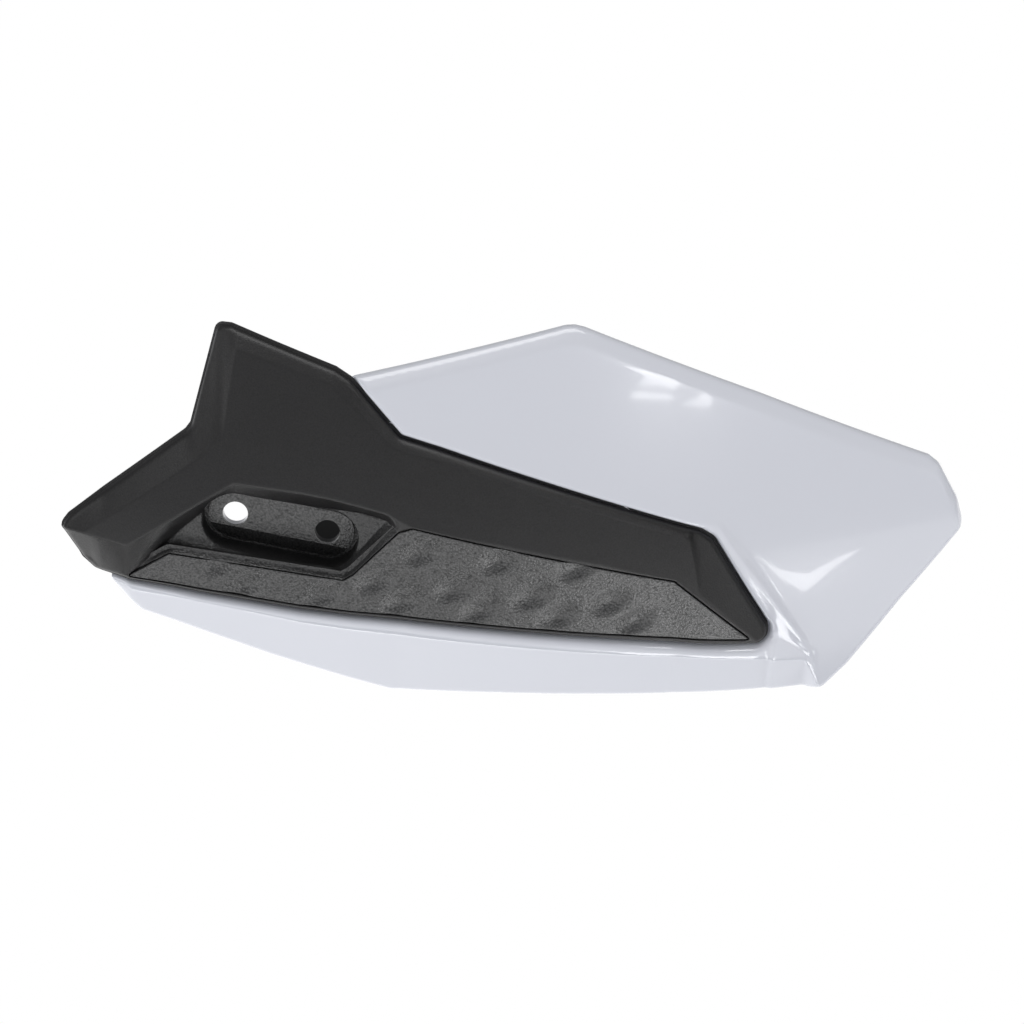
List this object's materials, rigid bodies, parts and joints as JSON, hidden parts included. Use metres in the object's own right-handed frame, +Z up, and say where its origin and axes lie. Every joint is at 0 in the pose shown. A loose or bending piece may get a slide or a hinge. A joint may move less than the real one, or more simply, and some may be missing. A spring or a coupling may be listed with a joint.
{
  "type": "motorcycle hand guard",
  "caption": "Swept hand guard: white wind shield with a black arrow-tailed cover, a dimpled panel and a slotted boss that two bolts fix to the bar mount.",
  "frame": {"origin": "centre of the boss's rear seat, half way between the two bolt holes", "axes": "+X outboard along the guard, +Z up, +Y backwards out of the rear seat, towards the rider"},
  "size_m": [0.3235, 0.0594, 0.1408],
  "materials": {
    "white_moulding": "smooth glossy white",
    "black_moulding": "fine-grained satin black",
    "grained_moulding": "coarse-grained matt black",
    "steel": "zinc-plated steel",
    "screw_steel": "zinc-plated steel"
  },
  "bodies": {
    "root": {"wind_shield": "white_moulding", "front_cover": "black_moulding", "textured_panel": "grained_moulding", "mount_carrier": "grained_moulding", "mount_sleeve_inboard": "steel", "mount_sleeve_outboard": "steel", "shield_screw_1": "screw_steel", "shield_screw_2": "screw_steel", "shield_screw_3": "screw_steel", "shield_screw_4": "screw_steel", "shield_screw_5": "screw_steel", "shield_screw_6": "screw_steel", "carrier_screw_1": "screw_steel", "carrier_screw_2": "screw_steel", "carrier_screw_3": "screw_steel", "carrier_screw_4": "screw_steel", "carrier_screw_5": "screw_steel"}
  },
  "joints": []
}
